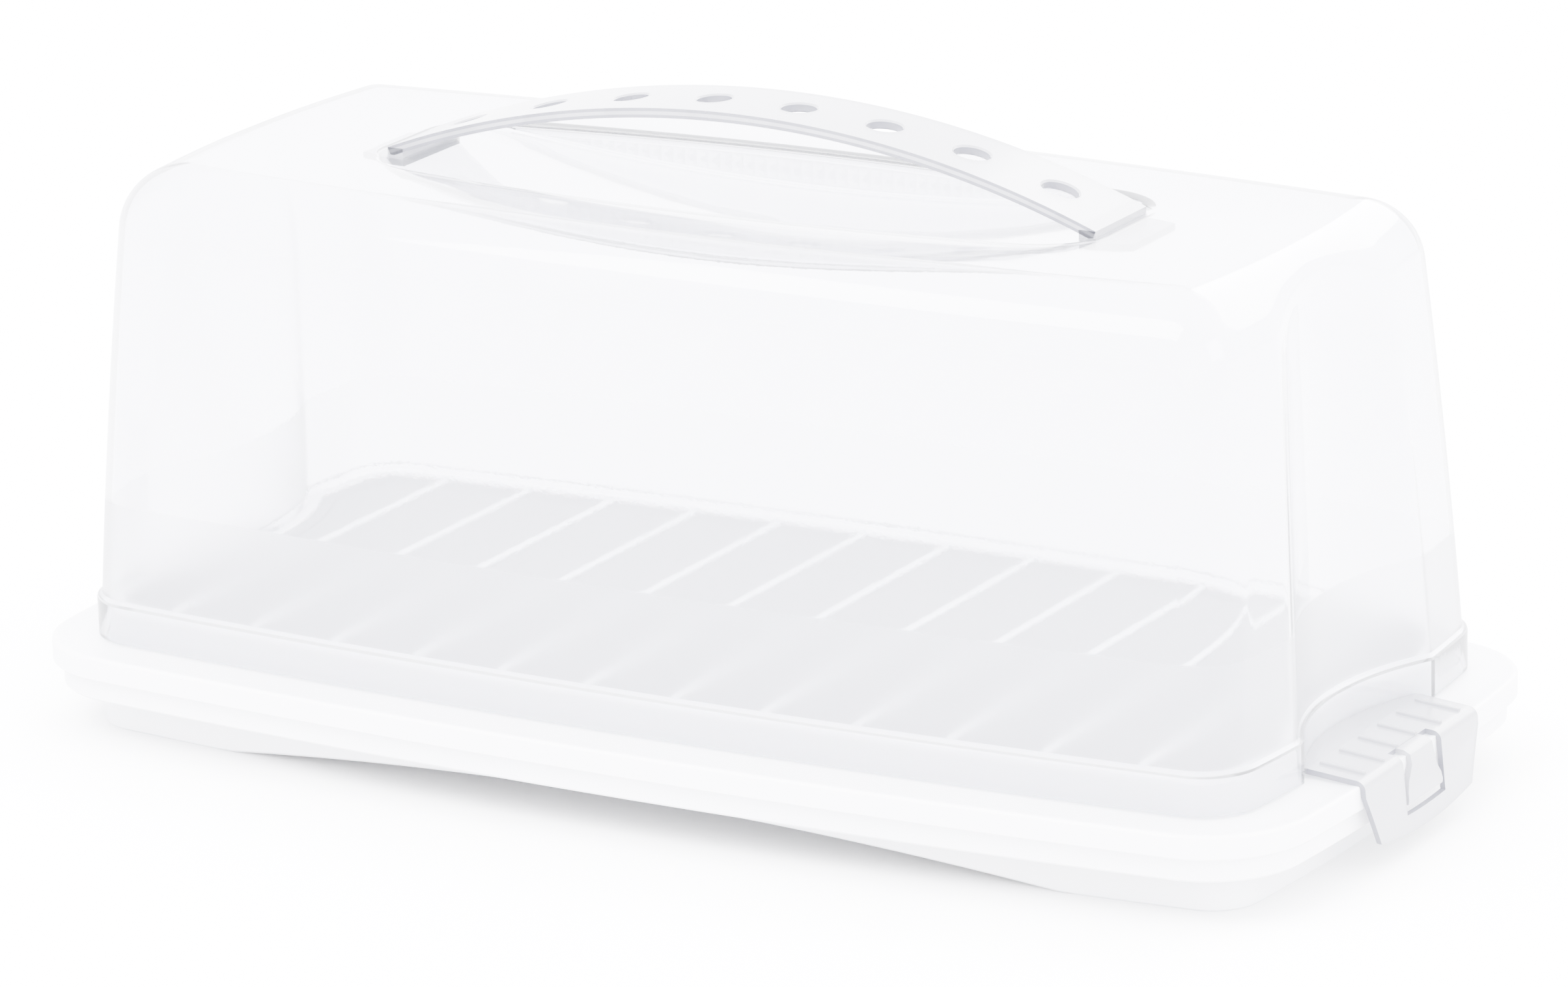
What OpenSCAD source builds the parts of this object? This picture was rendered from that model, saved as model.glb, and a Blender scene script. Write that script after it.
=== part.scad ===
// Loaf-cake carrier: ribbed serving base, clear lift-off hood, arched handle
// and a snap latch at each end. Millimetres, +Z up, X along the length.
// The origin is on the table, under the middle of the base.

/* [Base] */
// Overall length of the rim
base_l = 360; // [340:1:400]
// Overall width of the rim at mid length
base_w = 174; // [164:1:190]
// How far the long sides bow out at mid length
side_bow = 8.7; // [5:0.1:12]
// How far the ends bow out at mid width
end_bow = 5; // [3:0.1:7]
// Corner radius of the rim
corner_r = 25; // [23:0.5:30]
// Height of the rim's lip above the table
rim_z = 23.5; // [21:0.1:27]
// Height of the upright band round the rim
band_h = 6.2; // [5:0.1:7]
// Height of the narrower tier below the band
tier_h = 6.3; // [5:0.1:7]
// Step in from the band to the tier
tier_in = 2.5; // [2:0.1:3]
// Step in from the band to the foot skirt
foot_in = 12.6; // [11.5:0.1:13.4]
// Rise of the arch in each long side of the foot
arch_rise = 7.5; // [4:0.1:9]
// Half length of that arch
arch_half = 120; // [100:1:130]
// Wall thickness of the base
base_t = 2.2; // [1.8:0.1:2.6]

/* [Serving platform] */
// Height of the platform above the rim's lip
plat_h = 9.7; // [9.5:0.1:10]
// Number of slice marks across it
slice_n = 12; // [8:1:14]
// Spacing of the slice marks
slice_pitch = 25.1; // [22:0.1:26]
// Width of a slice mark
slice_w = 2.2; // [1.5:0.1:3]
// Height of the slice marks and of the platform's border
slice_h = 0.8; // [0.5:0.1:1.2]
// Size of the eased edge of the platform
plat_r = 2.6; // [2:0.1:3]

/* [Hood] */
// Height of the hood's flat top above the table
hood_top = 145.3; // [135:0.1:165]
// Ledge left open between the rim's edge and the hood's collar
ledge_w = 12; // [11:0.1:13]
// Step in from the collar to the wall above it
collar_step = 1.3; // [0.8:0.1:1.6]
// Thickness of the hood's wall
hood_t = 1.5; // [1.3:0.1:1.5]
// How far the walls lean in, in degrees
lean = 3.9; // [3:0.1:4.5]
// Rounding of the top edge
top_r = 14; // [11:0.1:14.5]
// Upright corner radius of the collar
collar_r = 16.5; // [15.5:0.1:18]
// Bow of the collar's long sides
hood_bow = 6.6; // [6:0.1:8]
// Bow of the wall's long sides
wall_bow = 7.8; // [7:0.1:9]

/* [End recess] */
// Radius of the hollow in each end of the hood
recess_r = 70.4; // [65:0.1:80]
// Depth of that hollow at the collar
recess_d = 10.9; // [9:0.1:12]
// How far the hollow leans in over the wall's height
recess_lean = 2; // [1:0.1:3]

/* [Finger well] */
// How far the well in the hood's top runs past each end of the handle
well_past = 3; // [-1:0.5:6]
// Width of the well
well_w = 64.4; // [56:0.2:68]
// Depth of the well
well_d = 11; // [8:0.1:13]
// How far the sides of the well bow out at mid length
well_bow = 12; // [8:0.5:16]
// Radius of the well's two ends
well_end = 34; // [30:1:40]

/* [Handle] */
// Height of the top of the arch above the hood's top
handle_rise = 19.8; // [16:0.1:26]
// Width of the handle
handle_w = 26; // [22:0.5:30]
// Thickness of the handle
handle_t = 2.5; // [2:0.1:3.2]
// Length of the handle between its two ends
handle_l = 202; // [198:0.5:204]
// Number of grip holes
hole_n = 8; // [4:1:8]
// Diameter of a grip hole
hole_d = 9; // [6:0.5:12]
// Spacing of the grip holes
hole_pitch = 24.2; // [18:0.1:25]
// Length of the tab that holds each end under the hood's skin
tab_l = 9; // [6:0.5:11]
// Width of a tab at its tip
tab_w = 21.6; // [18:0.2:24]

/* [Latch] */
// Width of a latch at its hinge and fold
latch_w = 62; // [56:1:66]
// Thickness of a latch
latch_t = 1.4; // [1.2:0.1:1.6]
// Height of the latch's hinge above the rim's lip
latch_up = 1.8; // [1.7:0.1:2.4]
// Slope of the latch plate, in degrees
latch_slope = 5; // [3:0.5:7]
// Length of the pull apron below the fold
apron_h = 16.8; // [15:0.1:18]
// Outward flare of the apron, in degrees
apron_flare = 5; // [3:0.5:7]
// Width of the apron at its lower corners
apron_w = 50; // [44:1:56]
// Width of the window round the tongue
window_w = 21; // [18:0.5:24]
// Width of the tongue where it leaves the plate
tongue_w = 12; // [10:0.5:14]
// Width of the tongue at its tip
tongue_tip_w = 18.6; // [16:0.2:19.5]
// Number of ribs on the latch plate
rib_n = 6; // [2:2:8]
// Spacing of those ribs
rib_pitch = 10.4; // [8:0.1:12]
// Height of those ribs
rib_h = 0.7; // [0.4:0.1:1]

/* [Hidden] */
lap = 0.02;                 // how far corner rounds stand over the bows
far = 400;                  // larger than the object
play = 0.3;                 // gap between pieces that lift or swing apart
slack = 0.4;                // gap between the hood's collar and the platform
side_fn = 360;              // segments of a full circle on the long bows
end_fn = 180;
round_fn = 48;

a0 = base_l / 2;
b0 = base_w / 2;
tier_z = rim_z - band_h;
skirt_z = tier_z - tier_h;
plat_z = rim_z + plat_h;
collar_t = 1.8;                                     // wall of the collar
plat_in = collar_t + slack;                         // collar to platform
hood_z = rim_z + play;                              // underside of the collar
cap_t = 1.2;                                        // collar over the platform
wall_z = plat_z + play + cap_t;                     // foot of the wall
edge_z = hood_top - top_r;                          // centre of the top edge
hood_r = (edge_z - wall_z) * tan(lean) + top_r / cos(lean);
recess_x = a0 - ledge_w - recess_d + recess_r;      // axis of the end recess

// ---- bowed outlines ------------------------------------------------------
// An outline is [half length, half width, side bow, end bow, corner radius]
rim = [a0, b0, side_bow, end_bow, corner_r];
collar = [a0 - ledge_w, b0 - ledge_w, hood_bow, end_bow, collar_r];
wall = [a0 - ledge_w - collar_step, b0 - ledge_w - collar_step,
        wall_bow, end_bow, hood_r];

function bow_r(half, bow) = (half * half + bow * bow) / (2 * bow);
function side_r(o) = bow_r(o[0], o[2]);
function end_r(o) = bow_r(o[1], o[3]);

// Centre of the corner arc between a long side and an end
function corner(o) =
    let (c1 = [0, o[1] - side_r(o)], c2 = [o[0] - end_r(o), 0])
    let (d = norm(c2 - c1), e = (c2 - c1) / d)
    let (p = side_r(o) - o[4], q = end_r(o) - o[4])
    let (u = (p * p - q * q + d * d) / (2 * d))
    c1 + e * u + [e[1], -e[0]] * sqrt(p * p - u * u)
        * (e[1] > 0 ? 1 : -1);

// Half the angle turned by a long side, and by an end
function side_turn(o) =
    let (c = corner(o)) atan2(c[0], c[1] - o[1] + side_r(o));
function end_turn(o) =
    let (c = corner(o)) atan2(c[1], c[0] - o[0] + end_r(o));

module both_ends() {
    children();
    mirror([1, 0, 0]) children();
}

// Puts its child at the centre of each corner arc
module corners(o) {
    c = corner(o);
    for (sx = [-1, 1], sy = [-1, 1])
        translate([sx * c[0], sy * c[1], 0]) children();
}

// Solid from z0 to z1 inside an outline, but for its corners. The child is
// the filled section of its edge: x is the distance outside, y the height
module bows(o, z0, z1) {
    st = side_turn(o);
    et = end_turn(o);
    deep = o[4] - 1;
    for (m = [0, 1])
        mirror([0, m, 0])
            translate([0, o[1] - side_r(o), 0])
                rotate_extrude(angle = 2 * st, start = 90 - st,
                               $fn = side_fn)
                    translate([side_r(o), 0]) children();
    for (m = [0, 1])
        mirror([m, 0, 0])
            translate([o[0] - end_r(o), 0, 0])
                rotate_extrude(angle = 2 * et, start = -et, $fn = end_fn)
                    translate([end_r(o), 0]) children();
    translate([0, 0, z0])
        linear_extrude(z1 - z0)
            intersection() {
                translate([0, o[1] - side_r(o)])
                    circle(side_r(o) - deep, $fn = side_fn);
                translate([0, side_r(o) - o[1]])
                    circle(side_r(o) - deep, $fn = side_fn);
                translate([o[0] - end_r(o), 0])
                    circle(end_r(o) - deep, $fn = end_fn);
                translate([end_r(o) - o[0], 0])
                    circle(end_r(o) - deep, $fn = end_fn);
            }
}

// The same with the corners turned from that section too
module block(o, z0, z1) {
    bows(o, z0, z1) children();
    corners(o)
        rotate_extrude($fn = round_fn)
            translate([o[4] + lap, 0]) children();
}

// Slab inside an outline that is drawn in by e
module slab(o, e, z0, z1) {
    d = o[4] - 0.5;
    block(o, z0, z1) translate([-d, z0]) square([d - e, z1 - z0]);
}

module recess_disc(r, z0, z1) {
    both_ends()
        translate([recess_x, 0, z0])
            cylinder(r = r, h = z1 - z0, $fn = 120);
}

// ---- base ----------------------------------------------------------------
// Filled section with the top edge eased in two steps, drawn in by e
module eased_profile(o, e, z0, z1, r) {
    d = o[4] - 0.5;
    mid = r * (1 - sqrt(0.5));
    polygon([[-d, z0], [-e, z0], [-e, z1 - r], [-e - mid, z1 - mid],
             [-e - r, z1], [-d, z1]]);
}

module rim_shell() {
    difference() {
        union() {
            slab(rim, 0, tier_z, rim_z);
            slab(rim, tier_in, skirt_z, tier_z + 0.1);
        }
        slab(rim, tier_in + base_t, skirt_z - 1, tier_z + base_t);
        slab(rim, base_t, tier_z + base_t - 0.1, rim_z - base_t);
        slab(collar, plat_in + base_t, 0, far);
    }
}

module foot() {
    difference() {
        slab(rim, foot_in, 0, rim_z - base_t + 0.1);
        slab(rim, foot_in + base_t, -1, rim_z);
    }
}

module slice_marks() {
    for (i = [0:slice_n - 1])
        translate([(i - (slice_n - 1) / 2) * slice_pitch - slice_w / 2,
                   -far / 2, plat_z - slice_h - 1])
            cube([slice_w, far, slice_h + 1]);
}

module platform() {
    inner_r = recess_r + plat_in;
    floor_z = plat_z - slice_h;
    border = plat_r + 1.6;
    difference() {
        block(collar, rim_z - base_t, plat_z)
            eased_profile(collar, plat_in, rim_z - base_t, plat_z, plat_r);
        recess_disc(inner_r, rim_z, plat_z + 1);
        // hollow underneath
        difference() {
            slab(collar, plat_in + base_t, 0, floor_z - base_t);
            recess_disc(inner_r + base_t, rim_z - base_t, plat_z);
        }
        // floor sunk between the border and the slice marks
        difference() {
            slab(collar, plat_in + border, floor_z, plat_z + 1);
            recess_disc(inner_r + border, floor_z - 1, plat_z + 2);
            slice_marks();
        }
    }
}

relief_in = 6;                                      // hinge to the relief

// Room in the rim for each latch plate, apron and tongue
module latch_relief() {
    both_ends() {
        translate([hinge_x + relief_in, -latch_w / 2 - 1,
                   fold_z - latch_t - 0.45])
            cube([far, latch_w + 2, far]);
        translate([a0 - rim_cut, -latch_w / 2 - 1, skirt_z - 1])
            cube([far, latch_w + 2, far]);
    }
}

module base() {
    arch_r = bow_r(arch_half, arch_rise);
    color([0.95, 0.955, 0.96])
        difference() {
            union() {
                rim_shell();
                foot();
                platform();
            }
            latch_relief();
            // arch along both long sides of the foot
            translate([0, 0, arch_rise - arch_r])
                rotate([90, 0, 0])
                    cylinder(r = arch_r, h = far, center = true,
                             $fn = side_fn);
        }
}

// ---- hood ----------------------------------------------------------------
// Filled section of the wall above the collar; g draws it in
module wall_profile(g) {
    d = hood_r - 0.5;
    z0 = wall_z - (g > 1 ? 2 : 0);
    r = top_r - g;
    turn = [r * cos(lean) - hood_r, edge_z + r * sin(lean)];
    foot_x = turn[0] + (turn[1] - z0) * tan(lean);
    polygon([[-d, z0], [foot_x, z0], turn, [-d, edge_z]]);
    translate([-hood_r, edge_z])
        intersection() {
            circle(r, $fn = round_fn);
            polygon([[0.5, 0], far * [cos(lean), sin(lean)],
                     [far, far], [0.5, far]]);
        }
}

// Turns the wall's section about each corner, a hair over the bows' ends
module wall_corners(g) {
    c = corner(wall);
    over = 0.5;
    a1 = end_turn(wall) - over;
    for (mx = [0, 1], my = [0, 1])
        mirror([mx, 0, 0]) mirror([0, my, 0])
            translate([c[0], c[1], 0])
                rotate_extrude(angle = 90 - side_turn(wall) - a1 + over,
                               start = a1, $fn = round_fn)
                    translate([hood_r, 0]) wall_profile(g - lap);
}

// The end recess, leaning in a little, grown by g for the inside of the hood
module end_recess(g) {
    below = 10;
    above = 10;
    slope = recess_lean / (hood_top - rim_z);
    both_ends()
        translate([recess_x, 0, rim_z - below])
            cylinder(r1 = recess_r + g - slope * below,
                     r2 = recess_r + g + slope * (hood_top - rim_z + above),
                     h = hood_top - rim_z + below + above, $fn = 120);
}

// The finger well in the top, grown by g for its underside
module well(g) {
    half = handle_l / 2 + well_past;
    keel_r = bow_r(half, well_d);
    side = bow_r(half, well_bow);
    intersection() {
        translate([0, 0, hood_top - well_d - g - 1])
            linear_extrude(far)
                intersection() {
                    translate([0, well_w / 2 - side])
                        circle(side + g, $fn = side_fn);
                    translate([0, side - well_w / 2])
                        circle(side + g, $fn = side_fn);
                    union() {
                        for (m = [-1, 1])
                            translate([m * (half - well_end), 0])
                                circle(well_end + g, $fn = 120);
                        square([2 * (half - well_end),
                                2 * (well_end + g)], center = true);
                    }
                }
        translate([0, 0, hood_top - well_d + keel_r])
            rotate([90, 0, 0])
                cylinder(r = keel_r + g, h = far, center = true,
                         $fn = side_fn);
    }
}

// The hood as a block; g draws its surface in
module hood_block(g) {
    low = g > 0 ? 2 : 0;
    side = g > 0 ? collar_t : 0;
    difference() {
        slab(collar, side, hood_z - low, wall_z - (g > 0 ? cap_t : 0));
        end_recess(side);
    }
    difference() {
        bows(wall, hood_z - low, hood_top - g) wall_profile(g);
        end_recess(g);
        well(g);
    }
    wall_corners(g);
}

slot_l = 5;                                         // slot for a handle end
slot_h = 6;                                         // depth that it is cut to
slot_x = handle_l / 2 + 0.2;                        // outer end of the slot

// Shelf in the recess that carries the latch's hinge
module hood_shelf() {
    intersection() {
        translate([recess_x, 0, hinge_z - latch_t / 2])
            cylinder(r = recess_r + 0.6, h = latch_t, $fn = 180);
        translate([hinge_x - far, -latch_w / 2, 0])
            cube([far, latch_w, far]);
    }
}

module hood() {
    color([0.86, 0.92, 0.95, 0.35])
        difference() {
            union() {
                difference() {
                    hood_block(0);
                    hood_block(hood_t);
                }
                both_ends() hood_shelf();
            }
            both_ends() {
                translate([hinge_x, 0, hinge_z])
                    rotate([90, 0, 0])
                        cylinder(r = latch_t / 2 + 0.08, h = far,
                                 center = true, $fn = 32);
                translate([slot_x - slot_l, -handle_w / 2 - 0.2,
                           hood_top - slot_h])
                    cube([slot_l, handle_w + 0.4, far]);
            }
        }
}

// ---- handle --------------------------------------------------------------
arch_top = hood_top + handle_rise;                  // top of the handle
drop = handle_rise - 0.9;                           // fall to its two ends
strap_r = bow_r(handle_l / 2, drop);

module handle() {
    tab_z = hood_top - hood_t - 1.1;                // top of a tab
    color([0.88, 0.93, 0.95])
        difference() {
            union() {
                intersection() {
                    translate([0, 0, arch_top - strap_r])
                        rotate([90, 0, 0])
                            difference() {
                                cylinder(r = strap_r, h = handle_w,
                                         center = true, $fn = side_fn);
                                cylinder(r = strap_r - handle_t,
                                         h = far, center = true,
                                         $fn = side_fn);
                            }
                    translate([0, 0, arch_top])
                        cube([handle_l, far, 2 * (drop + handle_t + 2)],
                             center = true);
                }
                both_ends() {
                    // leg through the slot and tab under the skin
                    translate([handle_l / 2 - slot_l + 0.4, -handle_w / 2,
                               tab_z - 2])
                        cube([slot_l - 0.4, handle_w,
                              hood_top - tab_z + 1.6]);
                    translate([0, 0, tab_z - 2])
                        linear_extrude(2)
                            polygon([
                                [handle_l / 2 - slot_l + 0.4, -handle_w / 2],
                                [handle_l / 2, -handle_w / 2],
                                [handle_l / 2 + tab_l, -tab_w / 2],
                                [handle_l / 2 + tab_l, tab_w / 2],
                                [handle_l / 2, handle_w / 2],
                                [handle_l / 2 - slot_l + 0.4,
                                 handle_w / 2]]);
                }
            }
            // grip holes, square to the strap
            for (i = [0:hole_n - 1]) {
                x = (i - (hole_n - 1) / 2) * hole_pitch;
                translate([0, 0, arch_top - strap_r])
                    rotate([0, asin(x / strap_r), 0])
                        translate([0, 0, strap_r - handle_t - 2])
                            cylinder(d = hole_d, h = handle_t + 4,
                                     $fn = 48);
            }
        }
}

// ---- latches -------------------------------------------------------------
hinge_in = 15;                                      // rim's end to the hinge
hinge_x = a0 - hinge_in;                            // hinge of the right latch
hinge_z = rim_z + latch_up;
fold_r = 2.6;                                       // outer radius of the fold
rim_cut = 1;                                        // rim face set back there
fold_x = a0 + 0.8;                                  // outside of the fold
plate_l = fold_x - fold_r - hinge_x;                // hinge to start of fold
fold_z = hinge_z + latch_t / 2 - plate_l * tan(latch_slope);

// Side view of the plate, the fold and the apron, x outwards and y up
module latch_side() {
    intersection() {
        translate([hinge_x, hinge_z]) rotate(-latch_slope)
            translate([0, -latch_t / 2])
                square([plate_l + fold_r, latch_t]);
        translate([hinge_x - 5, 0]) square([plate_l + 5.2, far]);
    }
    translate([hinge_x, hinge_z]) circle(latch_t / 2, $fn = 32);
    translate([fold_x - fold_r, fold_z - fold_r])
        intersection() {
            difference() {
                circle(fold_r, $fn = 64);
                circle(fold_r - latch_t, $fn = 64);
            }
            polygon([[0, 0], [-0.4, 9], [9, 9], [9, -1.1]]);
        }
    translate([fold_x, fold_z - fold_r])
        rotate(apron_flare)
            translate([-latch_t, -apron_h])
                square([latch_t, apron_h]);
}

// Side view of the tongue: over the lip and down outside the rim, with a
// thicker tip
module tongue_side() {
    in_x = a0 - rim_cut + play;
    out_x = in_x + latch_t;
    tip_z = skirt_z + 0.4;
    translate([window_x - 1, fold_z - latch_t - 0.2])
        square([out_x - window_x + 1, latch_t + 0.2]);
    polygon([
        [in_x, fold_z], [in_x, tip_z + 0.8], [in_x + 0.5, tip_z],
        [out_x + 0.4, tip_z], [out_x + 0.9, tip_z + 1.2],
        [out_x + 0.6, tip_z + 4], [out_x, tip_z + 6.5], [out_x, fold_z]]);
}
window_in = 3.7;                                    // rim's end to the window
window_x = a0 - window_in;                          // inner edge of the window
window_foot = 4.6;                                  // window to the lower edge
window_r = 24;                                      // radius of its lower side

module along_y(w) {
    rotate([90, 0, 0])
        linear_extrude(w, center = true) children();
}

module latch() {
    low_z = fold_z - fold_r - apron_h;
    belly = 2.2;
    belly_r = bow_r(apron_w / 2, belly);
    color([0.88, 0.93, 0.95])
        difference() {
            union() {
                difference() {
                    intersection() {
                        along_y(latch_w) latch_side();
                        // front view: sides taper down to a curved lower edge
                        rotate([90, 0, 90])
                            linear_extrude(far)
                                intersection() {
                                    polygon([
                                        [-latch_w / 2, far],
                                        [-latch_w / 2, fold_z - 2],
                                        [-apron_w / 2, low_z + belly],
                                        [-apron_w / 2, -far],
                                        [apron_w / 2, -far],
                                        [apron_w / 2, low_z + belly],
                                        [latch_w / 2, fold_z - 2],
                                        [latch_w / 2, far]]);
                                    translate([0, low_z + belly_r])
                                        circle(belly_r, $fn = end_fn);
                                }
                    }
                    // window from the plate round the fold into the apron
                    translate([window_x, 0, 0])
                        rotate([90, 0, 90])
                            linear_extrude(far)
                                intersection() {
                                    translate([-window_w / 2,
                                               low_z + window_foot])
                                        square([window_w, far]);
                                    translate([0, low_z + window_foot
                                                  + window_r])
                                        circle(window_r, $fn = round_fn);
                                }
                }
                // tongue, wider at its tip
                intersection() {
                    along_y(far) tongue_side();
                    rotate([90, 0, 90])
                        linear_extrude(far)
                            polygon([
                                [-tongue_w / 2, far],
                                [-tongue_w / 2, fold_z - 3],
                                [-tongue_tip_w / 2, tier_z - 3],
                                [-tongue_tip_w / 2, 0],
                                [tongue_tip_w / 2, 0],
                                [tongue_tip_w / 2, tier_z - 3],
                                [tongue_w / 2, fold_z - 3],
                                [tongue_w / 2, far]]);
                }
                // ribs along the plate
                for (i = [0:rib_n - 1]) {
                    y = (i - (rib_n - 1) / 2) * rib_pitch;
                    stop = abs(y) < window_w / 2 + 1 ? 1.2 : 0;
                    translate([hinge_x, y, hinge_z])
                        rotate([0, latch_slope, 0])
                            translate([1.4, -0.6, 0])
                                cube([plate_l - 2.4 - stop, 1.2,
                                      latch_t / 2 + rib_h]);
                }
            }
        }
}

module latch_right() { latch(); }
module latch_left() { mirror([1, 0, 0]) latch(); }

base();
hood();
handle();
latch_left();
latch_right();
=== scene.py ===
import bpy, bmesh, math
import numpy as np
from mathutils import Matrix, Vector


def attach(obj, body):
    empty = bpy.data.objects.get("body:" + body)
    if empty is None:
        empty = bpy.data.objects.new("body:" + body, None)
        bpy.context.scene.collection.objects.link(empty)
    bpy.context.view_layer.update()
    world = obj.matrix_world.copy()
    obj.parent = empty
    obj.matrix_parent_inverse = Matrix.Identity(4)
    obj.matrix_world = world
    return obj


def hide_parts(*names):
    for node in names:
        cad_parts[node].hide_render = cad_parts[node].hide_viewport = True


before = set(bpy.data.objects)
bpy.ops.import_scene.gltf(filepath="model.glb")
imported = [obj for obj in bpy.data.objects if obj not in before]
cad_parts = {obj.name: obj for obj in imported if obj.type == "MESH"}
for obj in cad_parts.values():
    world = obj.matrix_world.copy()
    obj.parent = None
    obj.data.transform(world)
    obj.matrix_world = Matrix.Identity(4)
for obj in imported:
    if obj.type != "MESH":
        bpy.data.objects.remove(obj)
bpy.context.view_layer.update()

# Sizes are in millimetres until a mesh is made, and angles in degrees
mm = 0.001
weldGap = 2e-6                                 # metres
# points round an outline: hollow, rest of the end, corner, half a long side
ringCounts = (12, 12, 14, 26)


def bowRadius(half, bow):
    return (half * half + bow * bow) / (2 * bow)


# An outline is [half length, half width, side bow, end bow, corner radius]
def cornerCentre(o):
    a, b, s, t, r = o
    r1, r2 = bowRadius(a, s), bowRadius(b, t)
    c1, c2 = np.array([0, b - r1]), np.array([a - r2, 0.0])
    d = np.linalg.norm(c2 - c1)
    e = (c2 - c1) / d
    p, q = r1 - r, r2 - r
    u = (p * p - q * q + d * d) / (2 * d)
    h = math.sqrt(max(p * p - u * u, 0))
    side = np.array([e[1], -e[0]]) * (1 if e[1] > 0 else -1)
    return c1 + e * u + side * h, r1, r2


# Distance from the middle at which an end's hollow meets its wall
def hollowEdge(wallX, hollowX, endTop):
    least = 5.0
    lo, hi = 0.0, endTop * 0.98
    for _ in range(40):
        mid = (lo + hi) / 2
        if hollowX(mid) < wallX(mid):
            lo = mid
        else:
            hi = mid
    return max(lo, least)


# Points round a bowed outline, starting at +X and turning towards +Y; recess is
# (x of the axis, radius, softness of its two edges) of the hollow in each end
def ringPoints(o, recess=None):
    a, b, s, t, r = o
    c, r1, r2 = cornerCentre(o)
    sideTurn = math.atan2(c[0], c[1] - b + r1)
    endTurn = math.atan2(c[1], c[0] - a + r2)
    endTop = r2 * math.sin(endTurn)

    def wallX(y):
        return a - r2 + math.sqrt(r2 * r2 - y * y)

    def hollowX(y):
        return recess[0] - math.sqrt(max(recess[1] ** 2 - y * y, 0))

    def endX(y):
        if not recess:
            return wallX(y)
        gap = wallX(y) - hollowX(y)
        return min(wallX(y), hollowX(y)) - max(recess[2] - abs(gap), 0) ** 2 / (4 * recess[2])

    edgeY = hollowEdge(wallX, hollowX, endTop) if recess else endTop * 0.5
    inEnd, besideEnd, inCorner, inSide = ringCounts
    quarter = []
    for i in range(inEnd):
        y = edgeY * i / inEnd
        quarter.append((endX(y), y))
    for i in range(besideEnd):
        y = edgeY + (endTop - edgeY) * i / besideEnd
        quarter.append((endX(y), y))
    for i in range(inCorner):
        g = endTurn + (math.pi / 2 - sideTurn - endTurn) * i / inCorner
        quarter.append((c[0] + r * math.cos(g), c[1] + r * math.sin(g)))
    for i in range(inSide + 1):
        g = sideTurn * (1 - i / inSide)
        quarter.append((r1 * math.sin(g), b - r1 + r1 * math.cos(g)))
    return np.array(
        quarter
        + [(-x, y) for x, y in quarter[-2::-1]]
        + [(-x, -y) for x, y in quarter[1:]]
        + [(x, -y) for x, y in quarter[-2:0:-1]]
    )


# The outline drawn in by e
def inset(o, e):
    a, b, s, t, r = o
    return [a - e, b - e, s, t, max(r - e, 0.3)]


# Welds doubled points and turns every face outwards
def cleanMesh(mesh):
    bm = bmesh.new()
    bm.from_mesh(mesh)
    bmesh.ops.remove_doubles(bm, verts=bm.verts, dist=weldGap)
    bmesh.ops.recalc_face_normals(bm, faces=bm.faces)
    bm.to_mesh(mesh)
    bm.free()


# cut lists the faces at cut edges, which take a darker colour as painted shade
def makeObject(name, verts, faces, smooth=True, cut=()):
    mesh = bpy.data.meshes.new(name)
    mesh.from_pydata([tuple(v * mm for v in p) for p in verts], [], faces)
    mesh.update()
    marks = mesh.attributes.new("cutEdge", "INT", "FACE")
    for i in cut:
        marks.data[i].value = 1
    cleanMesh(mesh)
    for p in mesh.polygons:
        p.use_smooth = smooth
    obj = bpy.data.objects.new(name, mesh)
    bpy.context.scene.collection.objects.link(obj)
    return obj


# Keeps edges sharper than the angle crisp while the rest shades smooth
def sharpen(obj, angle):
    limit = math.cos(math.radians(angle))
    bm = bmesh.new()
    bm.from_mesh(obj.data)
    for e in bm.edges:
        if len(e.link_faces) == 2:
            e.smooth = e.link_faces[0].normal.dot(e.link_faces[1].normal) > limit
    bm.to_mesh(obj.data)
    bm.free()
    return obj


# Gives a piece its finish, and a second one, a darker painted-shade finish, to its cut edges
def paint(obj, skin, edge):
    obj.data.materials.clear()
    obj.data.materials.append(skin)
    obj.data.materials.append(edge)
    marks = obj.data.attributes.get("cutEdge")
    if marks:
        values = [m.value for m in marks.data]
        for face, value in zip(obj.data.polygons, values):
            face.material_index = value
        obj.data.attributes.remove(marks)


# Quads between rings of n points each
def loftFaces(ringCount, n, closeRings=False):
    faces = []
    last = ringCount if closeRings else ringCount - 1
    for k in range(last):
        k2 = (k + 1) % ringCount
        for i in range(n):
            j = (i + 1) % n
            faces.append((k * n + i, k * n + j, k2 * n + j, k2 * n + i))
    return faces


# Points (distance, height) on an arc about (0, z)
def arcPoints(z, r, first, last, n=6):
    turns = [math.radians(first + (last - first) * i / n) for i in range(n + 1)]
    return [(r * math.cos(g), z + r * math.sin(g)) for g in turns]


# Closed section [(distance in, height)] carried round an outline
def sweepProfile(name, o, profile, recess=None):
    verts = []
    for e, z in profile:
        hollow = (recess[0], recess[1] + e, recess[2]) if recess else None
        ring = ringPoints(inset(o, e), hollow)
        verts += [(x, y, z) for x, y in ring]
    return makeObject(name, verts, loftFaces(len(profile), len(ring), True))


def join(name, objs):
    bpy.ops.object.select_all(action="DESELECT")
    for o in objs:
        o.select_set(True)
    bpy.context.view_layer.objects.active = objs[0]
    bpy.ops.object.join()
    objs[0].name = name
    objs[0].data.name = name
    return objs[0]


# A bar one unit long in Y with a crowned top, its foot at z = 0
def barMesh(name, width, height, crown):
    w, low = width / 2, height - crown
    section = [(-w, 0), (-w, low)]
    for g in (0.5, 1.05, math.pi / 2):
        section.append((-w + crown - crown * math.cos(g), low + crown * math.sin(g)))
    section += [(-x, z) for x, z in section[::-1]]
    n = len(section)
    verts = [(x, y, z) for y in (-0.5, 0.5) for x, z in section]
    return makeObject(name, verts, loftFaces(2, n) + [tuple(range(n)), tuple(range(n, 2 * n))])


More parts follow.
